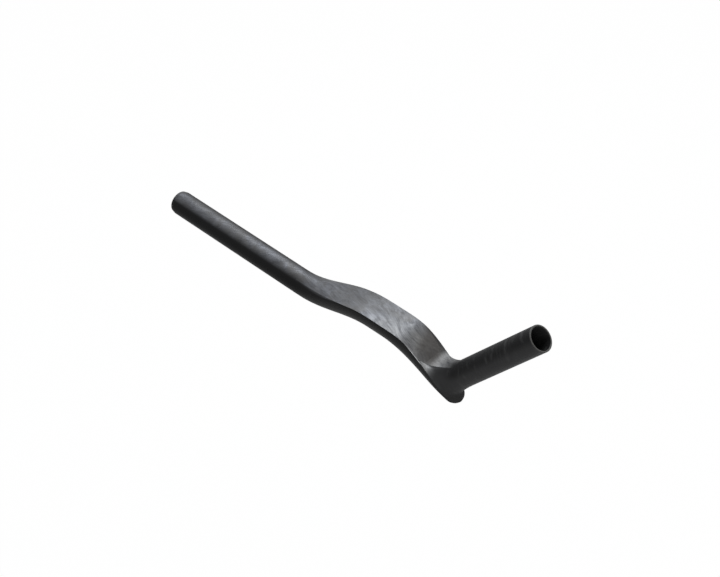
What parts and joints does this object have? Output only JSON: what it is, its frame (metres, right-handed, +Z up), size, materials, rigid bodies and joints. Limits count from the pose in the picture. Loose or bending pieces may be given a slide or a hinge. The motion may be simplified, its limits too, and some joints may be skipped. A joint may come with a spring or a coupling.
{
  "type": "aero handlebar extension",
  "caption": "Hollow moulded extension for a time-trial handlebar: a round shank, a flat-topped arm that rises and drops to a lipped foot, and an upright round grip leaning inboard.",
  "frame": {"origin": "centre of the shank's rear end", "axes": "+Z up, +Y along the shank to the rear, out of its open end, +X inboard, so that this is the rider's right-hand extension"},
  "size_m": [0.0444, 0.3989, 0.1022],
  "materials": {
    "carbon": "satin clear-coated carbon fibre"
  },
  "bodies": {
    "root": {"aero_extension": "carbon"}
  },
  "joints": []
}
